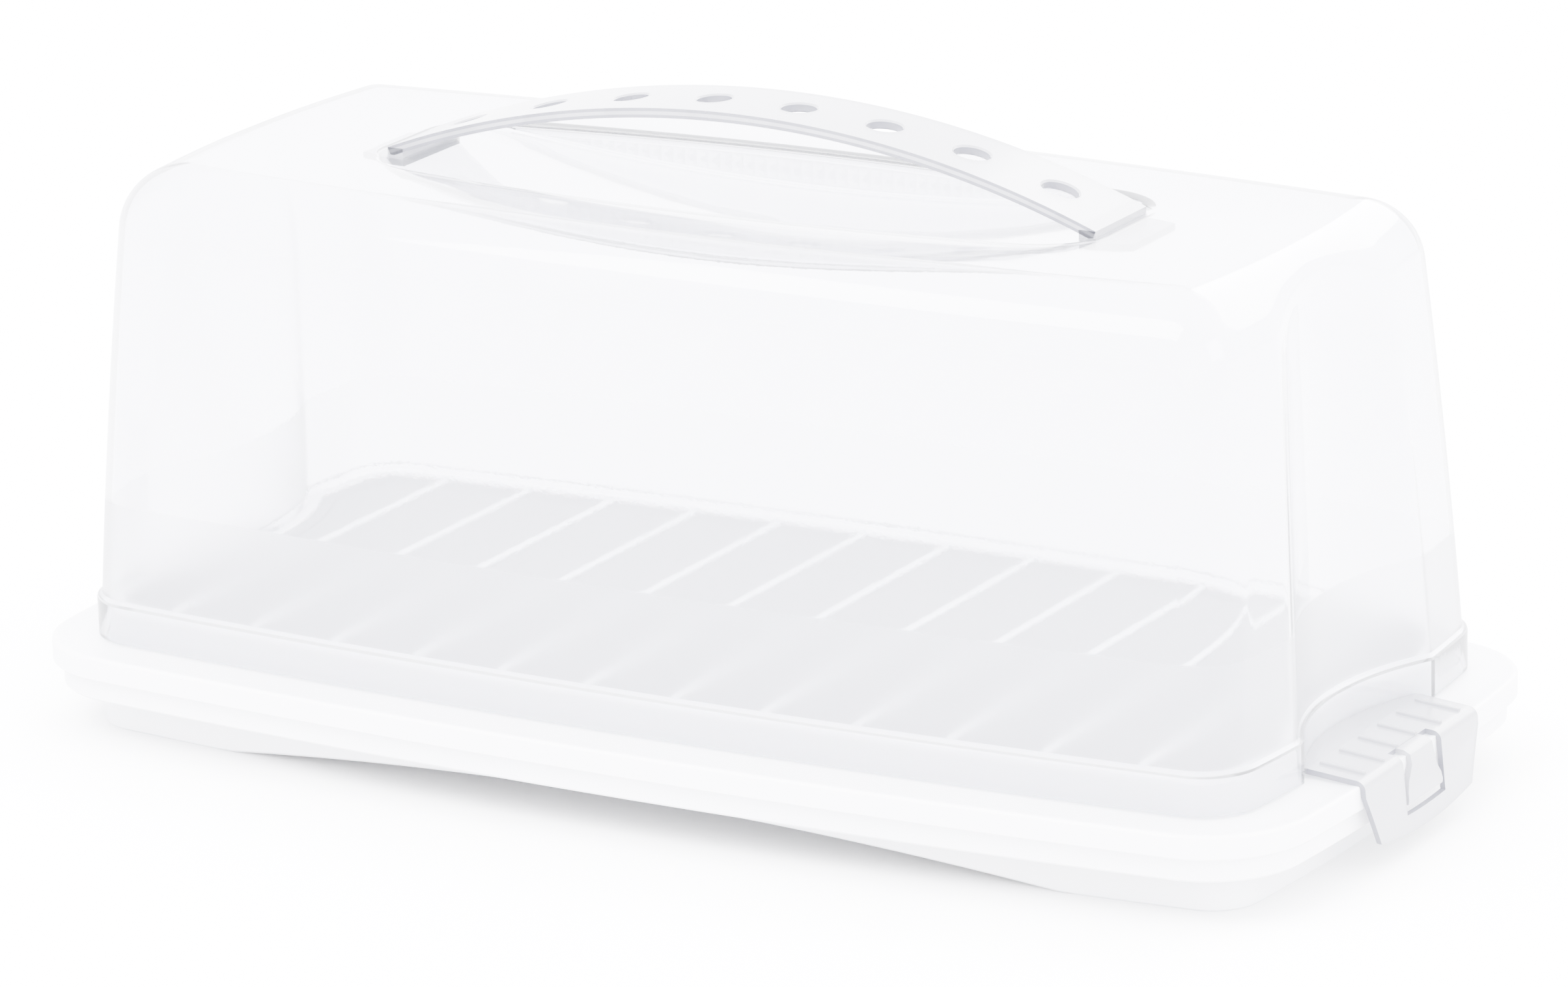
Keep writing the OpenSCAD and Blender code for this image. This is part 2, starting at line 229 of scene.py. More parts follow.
# Node tree that repeats a bar along X; lengthOf builds each one's length from
# its x and the inputs that are named in extras
def barTree(name, extras, lengthOf):
    tree = bpy.data.node_groups.new(name, "GeometryNodeTree")
    face = tree.interface
    face.new_socket("Geometry", in_out="INPUT", socket_type="NodeSocketGeometry")
    face.new_socket("Count", in_out="INPUT", socket_type="NodeSocketInt")
    for socket in ("Pitch", *extras):
        face.new_socket(socket, in_out="INPUT", socket_type="NodeSocketFloat")
    face.new_socket("Material", in_out="INPUT", socket_type="NodeSocketMaterial")
    face.new_socket("Geometry", in_out="OUTPUT", socket_type="NodeSocketGeometry")
    new, link = tree.nodes.new, tree.links.new
    gin, gout = new("NodeGroupInput"), new("NodeGroupOutput")

    def calc(operation, a, b=None):
        node = new("ShaderNodeMath")
        node.operation = operation
        for slot, value in ((0, a), (1, b)):
            if isinstance(value, (int, float)):
                node.inputs[slot].default_value = value
            elif value is not None:
                link(value, node.inputs[slot])
        return node.outputs[0]

    row = new("GeometryNodeMeshLine")
    step, first = new("ShaderNodeCombineXYZ"), new("ShaderNodeCombineXYZ")
    spans = calc("MULTIPLY", calc("SUBTRACT", gin.outputs["Count"], 1.0), gin.outputs["Pitch"])
    link(gin.outputs["Pitch"], step.inputs["X"])
    link(calc("MULTIPLY", spans, -0.5), first.inputs["X"])
    link(gin.outputs["Count"], row.inputs["Count"])
    link(first.outputs["Vector"], row.inputs["Start Location"])
    link(step.outputs["Vector"], row.inputs["Offset"])
    place, split = new("GeometryNodeInputPosition"), new("ShaderNodeSeparateXYZ")
    link(place.outputs["Position"], split.inputs["Vector"])
    size, put = new("ShaderNodeCombineXYZ"), new("GeometryNodeInstanceOnPoints")
    size.inputs["X"].default_value = 1
    size.inputs["Z"].default_value = 1
    link(lengthOf(calc, gin, split.outputs["X"]), size.inputs["Y"])
    link(row.outputs["Mesh"], put.inputs["Points"])
    link(gin.outputs["Geometry"], put.inputs["Instance"])
    link(size.outputs["Vector"], put.inputs["Scale"])
    real, finish = new("GeometryNodeRealizeInstances"), new("GeometryNodeSetMaterial")
    link(put.outputs["Instances"], real.inputs["Geometry"])
    link(real.outputs["Geometry"], finish.inputs["Geometry"])
    link(gin.outputs["Material"], finish.inputs["Material"])
    link(finish.outputs["Geometry"], gout.inputs["Geometry"])
    return tree


# Runs the tree on a bar and returns the row as a plain mesh object
def barRow(bar, tree, values):
    mod = bar.modifiers.new("row", "NODES")
    mod.node_group = tree
    for item in tree.interface.items_tree:
        if item.in_out == "INPUT" and item.name in values:
            mod[item.identifier] = values[item.name]
    bpy.context.view_layer.update()
    depsgraph = bpy.context.evaluated_depsgraph_get()
    mesh = bpy.data.meshes.new_from_object(bar.evaluated_get(depsgraph))
    mesh.materials.clear()
    bar.modifiers.remove(mod)
    obj = bpy.data.objects.new(bar.name + "_row", mesh)
    bpy.context.scene.collection.objects.link(obj)
    bpy.data.objects.remove(bar)
    return obj


def boxAt(name, lo, hi):
    v = [(x, y, z) for x in (lo[0], hi[0]) for y in (lo[1], hi[1]) for z in (lo[2], hi[2])]
    f = [(0, 1, 3, 2), (4, 6, 7, 5), (0, 4, 5, 1), (2, 3, 7, 6), (0, 2, 6, 4), (1, 5, 7, 3)]
    return makeObject(name, v, f, smooth=False)


base = {
    "rim": [179.9, 86.9, 8.7, 5, 27], "foot": [180, 87, 8.7, 5, 25],
    "collar": [168, 75, 6.6, 5, 16.5],
    "rimTop": 23.5, "tierTop": 17.3, "skirtTop": 11.0, "wallT": 2.2,
    # the ledge from the platform out to the lip: distance in, sag
    "ledge": [(18.6, 0), (12.6, 0), (9.0, 0.25), (5.5, 0.35), (2.6, 0.2), (1.6, 0)],
    "lipR": 0.9, "bandEase": 0.5, "ease": 0.6, "tierIn": 2.5,
    "footIn": 12.6, "footEdge": 1, "archRise": 7.5, "archHalf": 120,
    "latchHalf": 32, "latchX": 179.0,
    "platTop": 33.2, "platIn": 2.2, "platR": 2.6, "border": 1.6, "borderEase": 0.3,
    "floorIn": 4, "seam": 0.2, "recessX": 227.5, "recessR": 70.4, "recessSoft": 0.2,
    "ribs": 12, "ribPitch": 25.1, "ribW": 2.2, "ribH": 0.8, "ribCrown": 0.35,
    "ribSunk": 0.4, "ribReach": 0.6, "crease": 34,
}
floorZ = base["platTop"] - base["ribH"]
floorEdge = base["platIn"] + base["platR"] + base["border"]


# Ledge, lip, band and tier, set back behind each latch
def makeRim():
    b = base
    t, top, lip, ease = b["wallT"], b["rimTop"], b["lipR"], b["ease"]
    section = [(b["ledge"][0][0], top - t)]
    section += [(e, top - sag) for e, sag in b["ledge"]]
    section += [(lip - x, z) for x, z in arcPoints(top - lip, lip, 90, 0)]
    section += [(0, b["tierTop"] + b["bandEase"]), (b["bandEase"], b["tierTop"])]
    section += [(b["tierIn"], b["tierTop"]), (b["tierIn"], b["skirtTop"] + ease)]
    section += [(b["tierIn"] + ease, b["skirtTop"]), (b["tierIn"] + t, b["skirtTop"])]
    section += [(b["tierIn"] + t, top - t)]
    rim = sweepProfile("rim", b["rim"], section)
    for v in rim.data.vertices:
        x, y = v.co.x / mm, v.co.y / mm
        if abs(y) < b["latchHalf"] and abs(x) > b["latchX"]:
            v.co.x = math.copysign(b["latchX"] * mm, x)
    return rim


# Foot skirt with an arch along both long sides
def makeSkirt():
    b = base
    t, top, ease, e = b["wallT"], b["rimTop"], b["ease"], b["footIn"]
    section = [(e, top - t), (e, ease), (e + ease, 0), (e + t, 0), (e + t, top - t)]
    skirt = sweepProfile("skirt", b["foot"], section)
    archR = bowRadius(b["archHalf"], b["archRise"])
    for v in skirt.data.vertices:
        x, z = v.co.x / mm, v.co.z / mm
        if z < b["footEdge"] and abs(x) < b["archHalf"]:
            v.co.z += (math.sqrt(archR ** 2 - x * x) - archR + b["archRise"]) * mm
    return skirt


# Wall, rounded edge and raised border, then the floor that is sunk inside them
def makePlatform():
    b = base
    t, r, e, top, ease = b["wallT"], b["platR"], b["platIn"], b["platTop"], b["borderEase"]
    low, inside, under = b["rimTop"] - t, floorEdge + b["floorIn"], floorZ - t
    section = [(e + t, low), (e, low), (e, top - r)]
    section += [(e + r - x, z) for x, z in arcPoints(top - r, r, 0, 90)][1:]
    section += [(floorEdge - ease, top), (floorEdge, top - ease), (floorEdge, floorZ)]
    section += [(inside, floorZ), (inside, under), (e + t, under)]
    recess = (b["recessX"], b["recessR"], b["recessSoft"])
    wall = sweepProfile("platform", b["collar"], section, recess)

    e = inside - b["seam"]
    ring = ringPoints(inset(b["collar"], e), (recess[0], recess[1] + e, recess[2]))
    n = len(ring)
    verts = [(x, y, z) for z in (floorZ, under) for x, y in ring]
    verts += [(0, 0, floorZ), (0, 0, under)]
    faces = loftFaces(2, n)
    faces += [(i, (i + 1) % n, 2 * n) for i in range(n)]
    faces += [(n + (i + 1) % n, n + i, 2 * n + 1) for i in range(n)]
    return [wall, makeObject("floor", verts, faces, smooth=False)]


# Slice marks from side to side, shorter where the bowed sides close in
def makeSliceMarks():
    b = base
    sideR = bowRadius(b["collar"][0], b["collar"][2])
    reach = (sideR - floorEdge + b["ribReach"]) * mm

    def markLength(calc, gin, x):
        square = calc("SUBTRACT", gin.outputs["Radius Squared"], calc("MULTIPLY", x, x))
        half = calc("SUBTRACT", calc("SQRT", square), gin.outputs["Centre"])
        return calc("MULTIPLY", half, 2.0 / mm)

    bar = barMesh("slice_mark", b["ribW"], b["ribH"] + b["ribSunk"], b["ribCrown"])
    tree = barTree("sliceMarks", ("Radius Squared", "Centre"), markLength)
    marks = barRow(bar, tree, {
        "Count": b["ribs"], "Pitch": b["ribPitch"] * mm, "Radius Squared": reach ** 2,
        "Centre": (sideR - b["collar"][1]) * mm, "Material": bpy.data.materials.new("marks")})
    for v in marks.data.vertices:
        v.co.z += (floorZ - b["ribSunk"]) * mm
    return marks


def makeBase():
    parts = [makeRim(), makeSkirt(), *makePlatform(), makeSliceMarks()]
    return sharpen(join("carrier_base", parts), base["crease"])


hood = {
    "low": 23.8, "collar": [168, 75, 6.6, 5, 15.5], "collarTop": 34.7, "step": 1.3,
    "wallT": 1.5, "lowEase": 0.3, "collarSoft": 0.3,
    # the collar's round top outside: distance in, distance down, recess set back
    "collarRound": [(0, 1.0, 0), (0.25, 0.35, 0), (0.6, 0.05, 0.3)],
    "insideTop": 1.6, "wallFoot": 0.3, "insideFoot": 0.8, "wallSteps": 14,
    # leanEven is the share of the lean that is straight
    "top": 145.3, "lean": 6.4, "leanEven": 0.76, "topBow": 8.2, "topCorner": 15.0,
    "edgeR": 16.0, "edgeTilt": 4.5, "edgeSteps": 14, "cornerShare": 0.93,
    "recessX": 227.5, "recessR": 70.4, "recessLean": 2.0,
    "recessSoft": 0.6, "recessFade": 2.0,
    "well": [104, 32.2, 9, 8, 20], "wellD": 10.6, "wellLip": 1.6, "wellHeel": 1.4,
    "crease": 28,
}


# Rings of the hood's skin from the collar up; g is the distance inside it
def hoodLevels(g):
    h = hood
    a, b, s, t, r = h["collar"]
    rings = []

    def add(o, z, deep=0.0, soft=h["collarSoft"]):
        hollow = (h["recessX"], h["recessR"] + g + deep, soft)
        rings.append([(x, y, z) for x, y in ringPoints(o, hollow)])

    add(inset(h["collar"], g + h["lowEase"]), h["low"])
    add(inset(h["collar"], g), h["low"] + h["lowEase"])
    if g == 0:
        for e, down, deep in h["collarRound"]:
            add(inset(h["collar"], e), h["collarTop"] - down, deep)
        footZ = h["collarTop"] + h["wallFoot"]
    else:
        add(inset(h["collar"], g), h["collarTop"] - h["insideTop"])
        footZ = h["collarTop"] - h["insideFoot"]
    edgeZ = h["top"] - h["edgeR"]
    for i in range(h["wallSteps"] + 1):
        k = i / h["wallSteps"]
        e = h["step"] + h["lean"] * k * (h["leanEven"] + (1 - h["leanEven"]) * k) + g
        corner = r - h["step"] - g + (h["topCorner"] - r) * k
        o = [a - e, b - e, s + (h["topBow"] - s) * k, t, corner]
        soft = h["recessSoft"] + h["recessFade"] * k ** 3
        add(o, footZ + (edgeZ - footZ) * k, h["step"] + h["recessLean"] * k, soft)
    tilt = math.radians(h["edgeTilt"])
    edgeR = h["edgeR"] - g
    for i in range(1, h["edgeSteps"] + 1):
        f = tilt + (math.pi / 2 - tilt) * i / h["edgeSteps"]
        run = edgeR * (math.cos(tilt) - math.cos(f))
        z = edgeZ + edgeR * (math.sin(f) - math.sin(tilt)) / (1 - math.sin(tilt))
        e = h["step"] + h["lean"] + g + run
        corner = max(h["topCorner"] - h["step"] - g - run * h["cornerShare"], 1.0)
        soft = h["recessSoft"] + h["recessFade"] * (1 + 2 * i / h["edgeSteps"])
        add([a - e, b - e, h["topBow"], t, corner], z, h["step"] + h["recessLean"], soft)
    return rings


# Depth of the finger well at x
def keelDepth(x):
    depth = hood["wellD"]
    r = bowRadius(hood["well"][0], depth)
    return max(math.sqrt(max(r * r - x * x, 0)) - r + depth, 0)


# From the round top edge over the flat top, then down into the well
def topRings(rings, g):
    h = hood
    top, lip, heel = h["top"] - g, h["wellLip"], h["wellHeel"]
    last = np.array(rings[-1])[:, :2]
    mouth = ringPoints(inset(h["well"], -lip))
    for k in (0.35, 0.7, 1.0):
        rings.append([(x, y, top) for x, y in last * (1 - k) + mouth * k])
    for i in range(1, 6):                      # rounded crease
        f = math.radians(90 * i / 5)
        ring = ringPoints(inset(h["well"], -lip * (1 - math.sin(f))))
        drop = lip * (1 - math.cos(f))
        rings.append([(x, y, top - min(drop, keelDepth(x))) for x, y in ring])
    wall = ringPoints(h["well"])
    for k in (0.35, 0.7):
        rings.append([(x, y, top - max(min(lip, keelDepth(x)), keelDepth(x) * k))
                      for x, y in wall])
    for i in range(5):                         # rounded foot of the well's wall
        f = math.radians(90 * i / 4)
        ring = ringPoints(inset(h["well"], heel * (1 - math.cos(f))))
        lift = heel * (1 - math.sin(f))
        rings.append([(x, y, top - max(keelDepth(x) - lift, min(keelDepth(x), lip)))
                      for x, y in ring])
    foot = ringPoints(inset(h["well"], heel))
    for k in (0.86, 0.7, 0.5, 0.3, 0.12):
        rings.append([(x * k, y * k, top - keelDepth(x * k)) for x, y in foot])
    return rings, (0, 0, top - keelDepth(0))


# One skin of the hood, closed at the well's lowest point
def hoodSkin(g):
    rings, tip = topRings(hoodLevels(g), g)
    n = len(rings[0])
    last = (len(rings) - 1) * n
    verts = [p for ring in rings for p in ring] + [tip]
    faces = loftFaces(len(rings), n)
    faces += [(last + i, last + (i + 1) % n, last + n) for i in range(n)]
    return verts, faces, n


def makeHood():
    verts, faces, n = hoodSkin(0)
    inside, insideFaces, _ = hoodSkin(hood["wallT"])
    off = len(verts)
    verts += inside
    faces += [tuple(off + i for i in face[::-1]) for face in insideFaces]
    faces += [(i, off + i, off + (i + 1) % n, (i + 1) % n) for i in range(n)]
    return sharpen(makeObject("carrier_hood", verts, faces), hood["crease"])


handle = {
    "top": 165.1, "half": 101, "width": 26, "t": 2.5, "drop": 18.9,
    "holes": 8, "pitch": 24.2, "holeR": 4.5, "holeEase": 0.45,
    # middle share of the side walls that keeps the strap's finish between two lines of painted
    # shade
    "lightShare": 0.36,
    "legL": 4.6, "legTop": 146.2, "tab": 9, "tabHalf": 10.8, "tabT": 1.8, "tabZ": 142.4,
    "crease": 40,
}


# Place on the arch: x along it, z above the middle of its thickness
def strapPoint(x, y, z):
    outer = bowRadius(handle["half"], handle["drop"])
    r = outer - handle["t"] / 2
    g = math.asin(x / outer)
    return ((r + z) * math.sin(g), y, handle["top"] - outer + (r + z) * math.cos(g))


# The length of strap round one grip hole, whose centre is at cx
def addCell(verts, faces, cut, cx):
    h = handle
    w, t, half = h["width"] / 2, h["t"] / 2, h["pitch"] / 2
    corner, turns = math.atan2(w, half), 48
    angles = sorted([2 * math.pi * j / turns for j in range(turns)]
                    + [corner, math.pi - corner, math.pi + corner, 2 * math.pi - corner])
    m, start = len(angles), len(verts)

    def edgePoint(g):
        dx, dy = math.cos(g), math.sin(g)
        k = min(half / max(abs(dx), 1e-9), w / max(abs(dy), 1e-9))
        return cx + dx * k, dy * k

    # one loop over the top, through the hole and back under:
    # share of the way out to the cell's edge, radius of the hole, height
    ease, shares = h["holeEase"], [1.0, 0.66, 0.33, 0.08, 0.0]
    loop = [(k, h["holeR"] + ease, t) for k in shares]
    loop += [(0.0, h["holeR"], t - ease), (0.0, h["holeR"], -t + ease)]
    loop += [(k, h["holeR"] + ease, -t) for k in shares[::-1]]
    for k, r, z in loop:
        for g in angles:
            ex, ey = edgePoint(g)
            hx, hy = cx + r * math.cos(g), r * math.sin(g)
            verts.append(strapPoint(hx + (ex - hx) * k, hy + (ey - hy) * k, z))
    for index, face in enumerate(loftFaces(len(loop), m)):
        if index // m in (len(shares), len(shares) + 1):
            cut.append(len(faces))
        faces.append(tuple(start + i for i in face))
    # the cell's two long side walls
    line, low = t * h["lightShare"], start + (len(loop) - 1) * m
    for j in range(m):
        j2 = (j + 1) % m
        e0, e1 = edgePoint(angles[j]), edgePoint(angles[j2])
        onSide = all(abs(abs(e[1]) - w) < 1e-6 for e in (e0, e1))
        if onSide and e0[1] * e1[1] > 0:
            upper = (start + j, start + j2)
            for z in (line, -line):
                p = len(verts)
                verts += [strapPoint(*e0, z), strapPoint(*e1, z)]
                if z > 0:
                    cut.append(len(faces))
                faces.append((upper[0], p, p + 1, upper[1]))
                upper = (p, p + 1)
            cut.append(len(faces))
            faces.append((upper[0], low + j, low + j2, upper[1]))


# Solid end of the strap, from the last hole's cell to its tip
def addEnd(verts, faces, cut, side):
    h = handle
    w, t, steps = h["width"] / 2, h["t"] / 2, 3
    line, run = t * h["lightShare"], h["holes"] / 2 * h["pitch"]
    section = [(w, t), (-w, t), (-w, line), (-w, -line), (-w, -t), (w, -t), (w, -line), (w, line)]
    n, start = len(section), len(verts)
    for i in range(steps + 1):
        x = run + (h["half"] - run) * i / steps
        verts += [strapPoint(side * x, y, z) for y, z in section]
    for index, face in enumerate(loftFaces(steps + 1, n)):
        if index % 2 == 1:
            cut.append(len(faces))
        faces.append(tuple(start + i for i in face))
    faces.append(tuple(start + steps * n + j for j in range(n)))


# Leg through the hood's top, and the tab that holds it under the skin
def makeLeg(side):
    h = handle
    w, low = h["width"] / 2, h["tabZ"] - h["tabT"]
    x0, x1, x2 = h["half"] - h["legL"], h["half"], h["half"] + h["tab"]
    lo, hi = sorted((side * x0, side * x1))
    leg = boxAt("leg", (lo, -w, low), (hi, w, h["legTop"]))
    outline = [(x0, -w), (x1, -w), (x2, -h["tabHalf"]), (x2, h["tabHalf"]), (x1, w), (x0, w)]
    n = len(outline)
    verts = [(side * x, y, z) for z in (low, h["tabZ"]) for x, y in outline]
    faces = [tuple(range(n)), tuple(range(n, 2 * n))] + loftFaces(2, n)
    return [leg, makeObject("tab", verts, faces, smooth=False)]


def makeHandle():
    verts, faces, cut = [], [], []
    for i in range(handle["holes"]):
        addCell(verts, faces, cut, (i - (handle["holes"] - 1) / 2) * handle["pitch"])
    for side in (-1, 1):
        addEnd(verts, faces, cut, side)
    strap = sharpen(makeObject("strap", verts, faces, cut=cut), handle["crease"])
    return join("carrier_handle", [strap, *makeLeg(-1), *makeLeg(1)])


latch = {
    "hingeX": 165.0, "hingeZ": 25.3, "t": 1.4, "slope": 5, "foldX": 180.8, "foldR": 2.6,
    "half": 31, "apron": 16.8, "flare": 5, "lowHalf": 25, "taperFrom": 0.1, "belly": 2.2,
    "window": 10.5, "windowLow": 4.6, "notch": 176.3,
    # lines down the latch, as distances from its middle, and the first ones across
    "columns": [0, 3.5, 7, 10.5, 12, 15, 19, 23, 27, 31], "rows": [0, 2, 4, 6, 8],
    # the tongue from the notch over the rim to its thick tip:
    # x, z, half width, half thickness
    "tongue": [(175.7, 24.35, 6, 0.6), (178.2, 24.3, 6, 0.6), (179.6, 23.6, 6, 0.7),
               (180.0, 21.5, 6, 0.7), (180.0, 17.5, 7.8, 0.7), (180.1, 15.2, 9.0, 1.1),
               (180.3, 13.2, 9.3, 1.2), (180.7, 12.2, 9.3, 0.7)],
    "ribs": 6, "ribPitch": 10.4, "ribW": 1.1, "ribH": 0.7, "ribSunk": 0.3, "ribCrown": 0.3,
    "ribStart": 1.2, "ribShort": 10.2, "ribExtra": 1.6, "ribBeside": 1, "crease": 35,
    "shelfPoints": 31, "shelfIn": 0.5, "shelfLeast": 0.05,
}


# Lengths of the plate and of the fold along their outer surface
def latchRuns():
    q = latch
    plate = (q["foldX"] - q["foldR"] - q["hingeX"]) / math.cos(math.radians(q["slope"]))
    return plate, q["foldR"] * math.radians(90 - q["slope"] + q["flare"])


# Outer surface of plate, fold and apron at distance s from the hinge, and its normal
def latchPath(s):
    q = latch
    plate, bend = latchRuns()
    a, r = math.radians(q["slope"]), q["foldR"]
    top = q["hingeZ"] + q["t"] / 2
    if s < plate:
        return (q["hingeX"] + s * math.cos(a), top - s * math.sin(a)), (math.sin(a), math.cos(a))
    cx = q["hingeX"] + plate * math.cos(a) - r * math.sin(a)
    cz = top - plate * math.sin(a) - r * math.cos(a)
    g = math.pi / 2 - a - min(s - plate, bend) / r
    rest = max(s - plate - bend, 0)
    x = cx + r * math.cos(g) - rest * math.sin(g)
    z = cz + r * math.sin(g) - rest * math.cos(g)
    return (x, z), (math.cos(g), math.sin(g))


# Plate, fold and apron as one sheet with the window cut out of it
def makePlate(sign):
    q = latch
    plate, bend = latchRuns()
    fold = plate + bend
    full = fold + q["apron"]
    notchS = (q["notch"] - q["hingeX"]) / math.cos(math.radians(q["slope"]))
    lowS = full - q["windowLow"]
    ys = [-y for y in q["columns"][:0:-1]] + q["columns"]
    ss = q["rows"] + [notchS]
    for first, last, n in ((notchS, plate, 2), (plate, fold, 8), (fold, lowS, 7), (lowS, full, 3)):
        ss += [first + (last - first) * i / n for i in range(1, n + 1)]
    nx, ns = len(ys), len(ss)

    def place(s, y, depth):
        under = max(s - fold, 0) / q["apron"]
        taper = max(under - q["taperFrom"], 0) / (1 - q["taperFrom"])
        w = q["half"] + (q["lowHalf"] - q["half"]) * taper
        if abs(y) > q["window"]:
            share = (abs(y) - q["window"]) / (q["half"] - q["window"])
            y = math.copysign(q["window"] + share * (w - q["window"]), y)
        if under > 0:
            curve = q["belly"] * (y / q["lowHalf"]) ** 2
            s = fold + (s - fold) * (1 - curve / q["apron"])
        (x, z), (ax, az) = latchPath(s)
        return (sign * (x - ax * depth), y, z - az * depth)

    def inWindow(i, j):
        middleS, middleY = (ss[i] + ss[i + 1]) / 2, (ys[j] + ys[j + 1]) / 2
        return abs(middleY) < q["window"] and notchS < middleS < lowS

    verts = [place(s, y, depth) for depth in (0, q["t"]) for s in ss for y in ys]
    faces, cut, off = [], [], nx * ns
    cells = {(i, j) for i in range(ns - 1) for j in range(nx - 1) if not inWindow(i, j)}
    for i, j in sorted(cells):
        a, b, c, d = i * nx + j, i * nx + j + 1, (i + 1) * nx + j + 1, (i + 1) * nx + j
        faces += [(a, b, c, d), (off + d, off + c, off + b, off + a)]
        sides = {(i - 1, j): (a, b), (i + 1, j): (d, c), (i, j - 1): (a, d), (i, j + 1): (b, c)}
        for beside, (p, r) in sides.items():
            if beside not in cells:
                cut.append(len(faces))
                faces.append((p, r, off + r, off + p))
    return makeObject("plate", verts, faces, cut=cut)


def makeTongue(sign):
    stations = latch["tongue"]
    half = [(1, -1), (1, -0.5), (1, 0.5), (1, 1)]
    section = half + [(-c, y) for c, y in half[::-1]]
    verts = []
    for k, (x, z, w, t) in enumerate(stations):
        x0, z0 = stations[max(k - 1, 0)][:2]
        x1, z1 = stations[min(k + 1, len(stations) - 1)][:2]
        d = math.hypot(x1 - x0, z1 - z0)
        ax, az = -(z1 - z0) / d, (x1 - x0) / d
        verts += [(sign * (x + ax * t * c), y * w, z + az * t * c) for c, y in section]
    n = len(section)
    faces = loftFaces(len(stations), n)
    faces += [tuple(range(n)), tuple(range(len(verts) - n, len(verts)))]
    return makeObject("tongue", verts, faces)


# Ribs along the plate, longer beside the window; each bar turns to run outwards
def makeLatchRibs(sign):
    q = latch

    def ribLength(calc, gin, y):
        outer = calc("GREATER_THAN", calc("ABSOLUTE", y), gin.outputs["Window Edge"])
        return calc("ADD", gin.outputs["Short"], calc("MULTIPLY", outer, gin.outputs["Extra"]))

    bar = barMesh("latch_rib", q["ribW"], q["ribH"] + q["ribSunk"], q["ribCrown"])
    for v in bar.data.vertices:
        v.co.y += 0.5 * mm
    tree = barTree("latchRibs", ("Short", "Extra", "Window Edge"), ribLength)
    ribs = barRow(bar, tree, {
        "Count": q["ribs"], "Pitch": q["ribPitch"] * mm, "Short": q["ribShort"],
        "Extra": q["ribExtra"], "Window Edge": (q["window"] + q["ribBeside"]) * mm,
        "Material": bpy.data.materials.new("ribs")})
    for v in ribs.data.vertices:
        y, s, up = v.co.x / mm, q["ribStart"] + v.co.y / mm, v.co.z / mm - q["ribSunk"]
        (x, z), (ax, az) = latchPath(s)
        v.co = (sign * (x + ax * up) * mm, y * mm, (z + az * up) * mm)
    cleanMesh(ribs.data)
    return ribs


def makeLatch(name, sign):
    parts = [makePlate(sign), makeTongue(sign), makeLatchRibs(sign)]
    return sharpen(join(name, parts), latch["crease"])


# The part of the plate between the recess and the hinge; it stays on the hood
def makeShelf(sign):
    q = latch
    n = q["shelfPoints"]
    ys = [q["half"] * (2 * i / (n - 1) - 1) for i in range(n)]
    r = hood["recessR"] + q["shelfIn"]
    verts, faces = [], []
    for z in (q["hingeZ"] + q["t"] / 2, q["hingeZ"] - q["t"] / 2):
        for y in ys:
            x = min(hood["recessX"] - math.sqrt(r * r - y * y), q["hingeX"] - q["shelfLeast"])
            verts.append((sign * x, y, z))
        verts += [(sign * q["hingeX"], y, z) for y in ys]
    for i in range(n - 1):
        faces.append((i, i + 1, n + i + 1, n + i))
        faces.append((2 * n + i, 3 * n + i, 3 * n + i + 1, 2 * n + i + 1))
        faces.append((i, i + 1, 2 * n + i + 1, 2 * n + i))
    return makeObject("shelf", verts, faces, smooth=False)


basePiece = makeBase()
hoodPiece = makeHood()
handlePiece = makeHandle()
latchRight = makeLatch("carrier_latch_right", 1)
latchLeft = makeLatch("carrier_latch_left", -1)
shelves = join("carrier_shelves", [makeShelf(1), makeShelf(-1)])
print("shapes made")


def newMaterial(name):
    mat = bpy.data.materials.new(name)
    mat.use_nodes = True
    nodes = mat.node_tree.nodes
    return mat, nodes, mat.node_tree.links, nodes["Principled BSDF"]


# Fine grain and faint handling marks of moulded plastic, as bump and roughness
def mouldedGroup():
    g = bpy.data.node_groups.new("mouldedSkin", "ShaderNodeTree")
    face = g.interface
    face.new_socket("Rough low", in_out="INPUT", socket_type="NodeSocketFloat")
    face.new_socket("Rough high", in_out="INPUT", socket_type="NodeSocketFloat")
    face.new_socket("Bump", in_out="INPUT", socket_type="NodeSocketFloat")
    face.new_socket("Roughness", in_out="OUTPUT", socket_type="NodeSocketFloat")
    face.new_socket("Normal", in_out="OUTPUT", socket_type="NodeSocketVector")
    gin, gout = g.nodes.new("NodeGroupInput"), g.nodes.new("NodeGroupOutput")
    co = g.nodes.new("ShaderNodeTexCoord")
    broad = g.nodes.new("ShaderNodeTexNoise")
    broad.inputs["Scale"].default_value = 14
    broad.inputs["Detail"].default_value = 4
    fine = g.nodes.new("ShaderNodeTexNoise")
    fine.inputs["Scale"].default_value = 900
    fine.inputs["Detail"].default_value = 2
    ramp = g.nodes.new("ShaderNodeMapRange")
    ramp.inputs["From Min"].default_value = 0.3
    ramp.inputs["From Max"].default_value = 0.7
    bump = g.nodes.new("ShaderNodeBump")
    bump.inputs["Distance"].default_value = 0.0002
    link = g.links.new
    link(co.outputs["Object"], broad.inputs["Vector"])
    link(co.outputs["Object"], fine.inputs["Vector"])
    link(broad.outputs["Fac"], ramp.inputs["Value"])
    link(gin.outputs["Rough low"], ramp.inputs["To Min"])
    link(gin.outputs["Rough high"], ramp.inputs["To Max"])
    link(fine.outputs["Fac"], bump.inputs["Height"])
    link(gin.outputs["Bump"], bump.inputs["Strength"])
    link(ramp.outputs["Result"], gout.inputs["Roughness"])
    link(bump.outputs["Normal"], gout.inputs["Normal"])
    return g


moulded = mouldedGroup()


